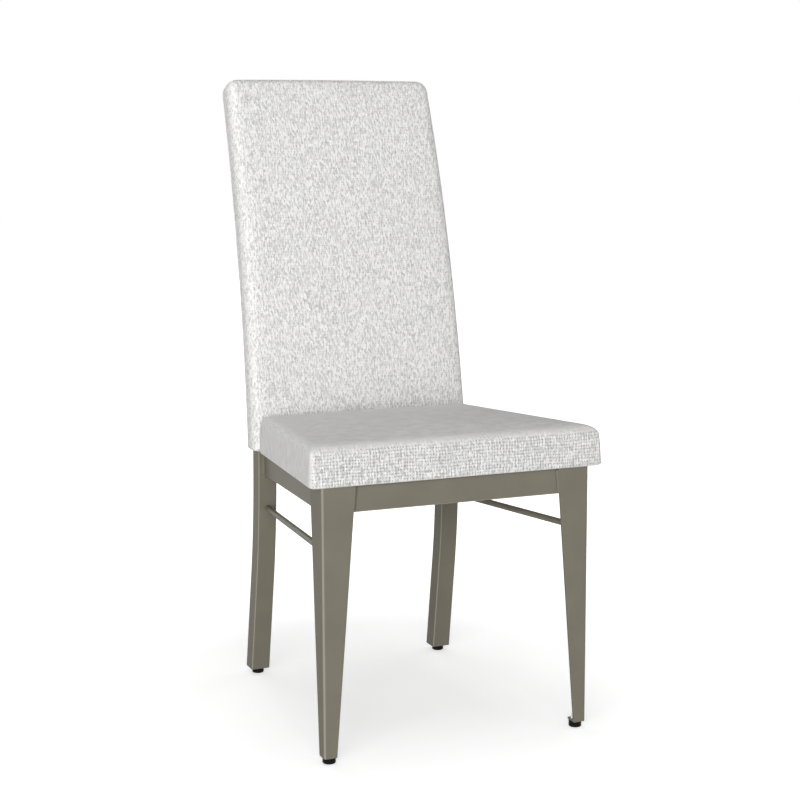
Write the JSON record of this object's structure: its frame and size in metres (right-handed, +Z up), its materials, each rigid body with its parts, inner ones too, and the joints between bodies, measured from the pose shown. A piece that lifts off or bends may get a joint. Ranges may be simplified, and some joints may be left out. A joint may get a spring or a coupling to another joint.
{
  "type": "dining chair",
  "caption": "High-back upholstered dining chair on a welded painted steel frame, with folded tapering front legs, bent rear legs, side stretcher rods and screw glides.",
  "frame": {"origin": "middle of the chair's box, on the floor", "axes": "+Z up, +X to the right as seen from the front, the chair faces -Y"},
  "size_m": [0.4712, 0.5914, 1.0052],
  "materials": {
    "frame_paint": "satin taupe-grey powder coat",
    "cover_fabric": "slubby linen-look weave, off-white",
    "foam": "upholstery foam",
    "plywood": "raw plywood",
    "zinc_steel": "zinc plated",
    "dust_cloth": "thin black non-woven cloth",
    "glide_plastic": "hard black plastic"
  },
  "bodies": {
    "chair": {"front_leg_left": "frame_paint", "front_leg_right": "frame_paint", "rear_leg_left": "frame_paint", "rear_leg_right": "frame_paint", "back_post_left": "frame_paint", "back_post_right": "frame_paint", "front_foot_plate_left": "frame_paint", "front_foot_plate_right": "frame_paint", "rear_foot_plate_left": "frame_paint", "rear_foot_plate_right": "frame_paint", "foot_weld_nuts": "zinc_steel", "front_rail": "frame_paint", "rear_rail": "frame_paint", "side_rail_left": "frame_paint", "side_rail_right": "frame_paint", "side_stretcher_left": "frame_paint", "side_stretcher_right": "frame_paint", "frame_welds": "frame_paint", "seat_tab_front_left": "frame_paint", "seat_tab_front_right": "frame_paint", "seat_tab_rear_left": "frame_paint", "seat_tab_rear_right": "frame_paint", "back_lower_rail": "frame_paint", "back_middle_rail": "frame_paint", "back_upper_rail": "frame_paint", "back_board": "plywood", "back_board_screws": "zinc_steel", "back_foam": "foam", "back_cover": "cover_fabric", "seat_board": "plywood", "seat_tee_nuts": "zinc_steel", "seat_bolts": "zinc_steel", "seat_washers": "zinc_steel", "seat_foam": "foam", "seat_cover": "cover_fabric", "seat_dust_cover": "dust_cloth"},
    "glide_front_left": {"glide_pad_front_left": "glide_plastic", "glide_stem_front_left": "zinc_steel"},
    "glide_front_right": {"glide_pad_front_right": "glide_plastic", "glide_stem_front_right": "zinc_steel"},
    "glide_rear_left": {"glide_pad_rear_left": "glide_plastic", "glide_stem_rear_left": "zinc_steel"},
    "glide_rear_right": {"glide_pad_rear_right": "glide_plastic", "glide_stem_rear_right": "zinc_steel"}
  },
  "joints": [
    {"name": "glide_front_left_screw", "type": "slide", "parent": "chair", "child": "glide_front_left", "axis": [0, 0, -1], "range_m": [0, 0.008]},
    {"name": "glide_front_right_screw", "type": "slide", "parent": "chair", "child": "glide_front_right", "axis": [0, 0, -1], "range_m": [0, 0.008]},
    {"name": "glide_rear_left_screw", "type": "slide", "parent": "chair", "child": "glide_rear_left", "axis": [0, 0, -1], "range_m": [0, 0.008]},
    {"name": "glide_rear_right_screw", "type": "slide", "parent": "chair", "child": "glide_rear_right", "axis": [0, 0, -1], "range_m": [0, 0.008]}
  ]
}
